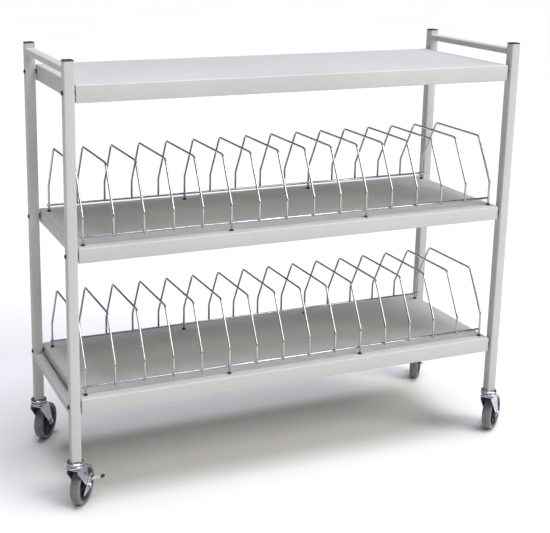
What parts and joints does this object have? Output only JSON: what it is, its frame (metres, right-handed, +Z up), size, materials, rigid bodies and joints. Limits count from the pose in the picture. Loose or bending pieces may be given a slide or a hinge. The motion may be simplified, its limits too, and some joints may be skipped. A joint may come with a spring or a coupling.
{
  "type": "book cart",
  "caption": "Light grey rolling cart for chart binders, with a plain top shelf, chrome wire divider racks on the lower shelves, end push handles and braked swivel casters.",
  "frame": {"origin": "bottom centre of the bounding box, on the floor under the casters with all four trailing to the right and back", "axes": "+X along the cart from the left end to the right end, +Y from the front of the shelves to the back, +Z up"},
  "size_m": [1.3222, 0.4892, 1.1183],
  "materials": {
    "paint": "satin light grey powder coat with a faint orange peel",
    "plastic": "black moulded plastic, satin",
    "bolt": "black oxide screw heads, low sheen",
    "chrome": "bright chrome-plated wire",
    "zinc": "bright zinc-plated pressed steel",
    "tyre": "non-marking grey rubber, matt",
    "hub": "dark moulded nylon",
    "brake": "zinc-plated side lever with a dark rubber pad"
  },
  "bodies": {
    "cart": {"leg_front_left": "paint", "leg_cap_front_left": "plastic", "leg_insert_front_left": "plastic", "caster_stem_front_left": "zinc", "leg_front_right": "paint", "leg_cap_front_right": "plastic", "leg_insert_front_right": "plastic", "caster_stem_front_right": "zinc", "leg_back_left": "paint", "leg_cap_back_left": "plastic", "leg_insert_back_left": "plastic", "caster_stem_back_left": "zinc", "leg_back_right": "paint", "leg_cap_back_right": "plastic", "leg_insert_back_right": "plastic", "caster_stem_back_right": "zinc", "handle_bar_left": "paint", "lower_cross_tube_left": "paint", "handle_bar_right": "paint", "lower_cross_tube_right": "paint", "shelf_top": "paint", "shelf_middle": "paint", "shelf_bottom": "paint", "wire_rack_middle": "chrome", "wire_rack_bottom": "chrome", "shelf_bolt_top_front_left": "bolt", "shelf_bolt_top_front_right": "bolt", "shelf_bolt_top_back_left": "bolt", "shelf_bolt_top_back_right": "bolt", "shelf_bolt_middle_front_left": "bolt", "shelf_bolt_middle_front_right": "bolt", "shelf_bolt_middle_back_left": "bolt", "shelf_bolt_middle_back_right": "bolt", "shelf_bolt_bottom_front_left": "bolt", "shelf_bolt_bottom_front_right": "bolt", "shelf_bolt_bottom_back_left": "bolt", "shelf_bolt_bottom_back_right": "bolt"},
    "swivel_front_left": {"caster_fork_front_left": "zinc", "caster_axle_front_left": "zinc"},
    "wheel_front_left": {"caster_tyre_front_left": "tyre", "caster_hub_front_left": "hub"},
    "pedal_front_left": {"brake_pedal_front_left": "brake"},
    "swivel_front_right": {"caster_fork_front_right": "zinc", "caster_axle_front_right": "zinc"},
    "wheel_front_right": {"caster_tyre_front_right": "tyre", "caster_hub_front_right": "hub"},
    "swivel_back_left": {"caster_fork_back_left": "zinc", "caster_axle_back_left": "zinc"},
    "wheel_back_left": {"caster_tyre_back_left": "tyre", "caster_hub_back_left": "hub"},
    "swivel_back_right": {"caster_fork_back_right": "zinc", "caster_axle_back_right": "zinc"},
    "wheel_back_right": {"caster_tyre_back_right": "tyre", "caster_hub_back_right": "hub"},
    "pedal_back_right": {"brake_pedal_back_right": "brake"}
  },
  "joints": [
    {"name": "swivel_front_left", "type": "hinge", "parent": "cart", "child": "swivel_front_left", "pos_m": [-0.63544, -0.21858, 0.118], "axis": [0, 0, 1], "continuous": true},
    {"name": "wheel_spin_front_left", "type": "hinge", "parent": "swivel_front_left", "child": "wheel_front_left", "pos_m": [-0.61153, -0.18904, 0.0508], "axis": [-0.7771, 0.6293, 0], "continuous": true},
    {"name": "brake_front_left", "type": "hinge", "parent": "swivel_front_left", "child": "pedal_front_left", "pos_m": [-0.61153, -0.18904, 0.0508], "axis": [-0.7771, 0.6293, 0], "range_deg": [0, 18]},
    {"name": "swivel_front_right", "type": "hinge", "parent": "cart", "child": "swivel_front_right", "pos_m": [0.57516, -0.21858, 0.118], "axis": [0, 0, 1], "continuous": true},
    {"name": "wheel_spin_front_right", "type": "hinge", "parent": "swivel_front_right", "child": "wheel_front_right", "pos_m": [0.6055, -0.19571, 0.0508], "axis": [-0.6018, 0.7986, 0], "continuous": true},
    {"name": "swivel_back_left", "type": "hinge", "parent": "cart", "child": "swivel_back_left", "pos_m": [-0.63544, 0.17002, 0.118], "axis": [0, 0, 1], "continuous": true},
    {"name": "wheel_spin_back_left", "type": "hinge", "parent": "swivel_back_left", "child": "wheel_back_left", "pos_m": [-0.61153, 0.19956, 0.0508], "axis": [-0.7771, 0.6293, 0], "continuous": true},
    {"name": "swivel_back_right", "type": "hinge", "parent": "cart", "child": "swivel_back_right", "pos_m": [0.57516, 0.17002, 0.118], "axis": [0, 0, 1], "continuous": true},
    {"name": "wheel_spin_back_right", "type": "hinge", "parent": "swivel_back_right", "child": "wheel_back_right", "pos_m": [0.59907, 0.19956, 0.0508], "axis": [-0.7771, 0.6293, 0], "continuous": true},
    {"name": "brake_back_right", "type": "hinge", "parent": "swivel_back_right", "child": "pedal_back_right", "pos_m": [0.59907, 0.19956, 0.0508], "axis": [-0.7771, 0.6293, 0], "range_deg": [0, 18]}
  ]
}
